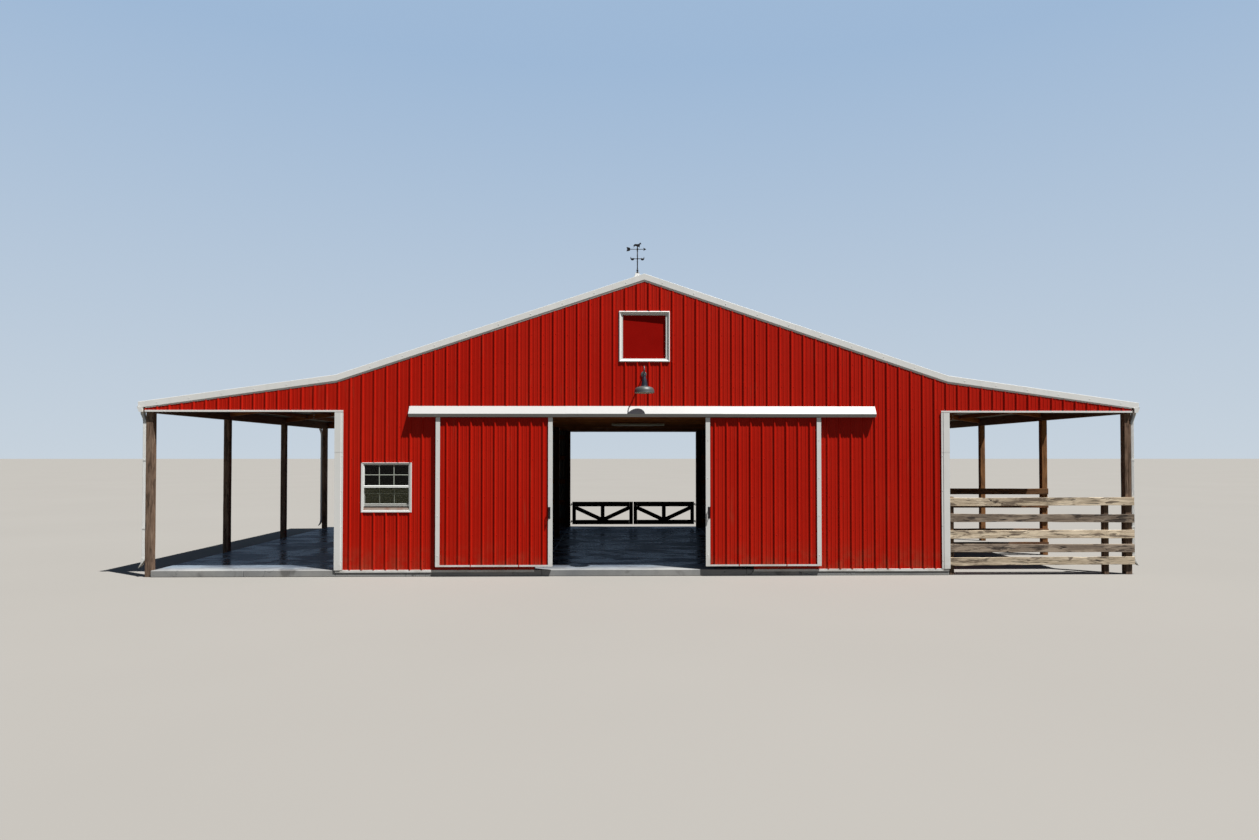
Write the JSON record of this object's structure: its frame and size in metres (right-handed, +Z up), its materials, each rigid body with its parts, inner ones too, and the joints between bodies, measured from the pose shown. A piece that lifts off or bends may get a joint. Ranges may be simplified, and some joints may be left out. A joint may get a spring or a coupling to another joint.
{
  "type": "red barn",
  "caption": "Gabled post-frame barn with open side bays, sliding doors, a loft hatch, a low rear gate and a weather vane on a cupola.",
  "frame": {"origin": "centre of the centre block's plan, on the underside of the floor slab, which is the ground line", "axes": "+X to the right along the front, -Y out of the front, +Z up"},
  "size_m": [19.242, 9.754, 7.65],
  "materials": {
    "concrete": "trowelled grey concrete",
    "red_siding": "baked red paint on ribbed steel sheet",
    "white_trim": "baked white paint on folded steel",
    "roof_metal": "ribbed white-grey steel roofing",
    "post_wood": "weathered grey-brown softwood",
    "frame_wood": "sawn brown softwood",
    "galvanised": "galvanised steel",
    "glass": "clear window glass",
    "hatch_red": "flat red painted panel",
    "lamp_metal": "grey enamel",
    "black_iron": "black painted iron",
    "fence_wood": "weathered rough-sawn boards",
    "gate_wood": "dark stained boards",
    "light_housing": "off-white light housing"
  },
  "bodies": {
    "root": {"floor_slab": "concrete", "side_bay_slab": "concrete", "front_wall_left": "red_siding", "front_wall_right": "red_siding", "front_gable": "red_siding", "rear_walls": "red_siding", "rear_gable": "red_siding", "left_wall": "red_siding", "right_wall": "red_siding", "bay_gables": "red_siding", "corner_trims": "white_trim", "level_trims": "white_trim", "rake_trims": "white_trim", "roof_main_left": "roof_metal", "roof_main_right": "roof_metal", "roof_side_left": "roof_metal", "roof_side_right": "roof_metal", "ridge_cap": "roof_metal", "bay_posts": "post_wood", "eave_headers": "frame_wood", "bay_rafters": "frame_wood", "inner_posts": "frame_wood", "loft_joists": "frame_wood", "loft_deck": "frame_wood", "main_rafters": "frame_wood", "gutters": "white_trim", "downspouts": "white_trim", "track_cover": "white_trim", "door_track": "galvanised", "rear_track_cover": "white_trim", "rear_doors": "red_siding", "window_frame": "white_trim", "window_glass": "glass", "hatch_frame": "white_trim", "loft_hatch": "hatch_red", "lamp_arm": "lamp_metal", "lamp_shade": "lamp_metal", "cupola": "white_trim", "vane_mast": "black_iron", "front_fence": "fence_wood", "inner_fence": "fence_wood", "gate_pins": "black_iron", "strip_light": "light_housing"},
    "left_door": {"left_door": "red_siding", "left_door_fittings": "galvanised"},
    "right_door": {"right_door": "red_siding", "right_door_fittings": "galvanised"},
    "gate_left": {"gate_left": "gate_wood"},
    "gate_right": {"gate_right": "gate_wood"},
    "vane": {"weather_vane": "black_iron"}
  },
  "joints": [
    {"name": "left_door_slide", "type": "slide", "parent": "root", "child": "left_door", "axis": [-1, 0, 0], "range_m": [-1.749, 0.424]},
    {"name": "right_door_slide", "type": "slide", "parent": "root", "child": "right_door", "axis": [1, 0, 0], "range_m": [-1.17, 1]},
    {"name": "left_gate_hinge", "type": "hinge", "parent": "root", "child": "gate_left", "pos_m": [-1.9, 4.5, 0.5], "axis": [0, 0, 1], "range_deg": [0, 90]},
    {"name": "right_gate_hinge", "type": "hinge", "parent": "root", "child": "gate_right", "pos_m": [1.9, 4.5, 0.5], "axis": [0, 0, -1], "range_deg": [0, 90]},
    {"name": "vane_spin", "type": "hinge", "parent": "root", "child": "vane", "pos_m": [0, 0, 7.48], "axis": [0, 0, 1], "continuous": true}
  ]
}
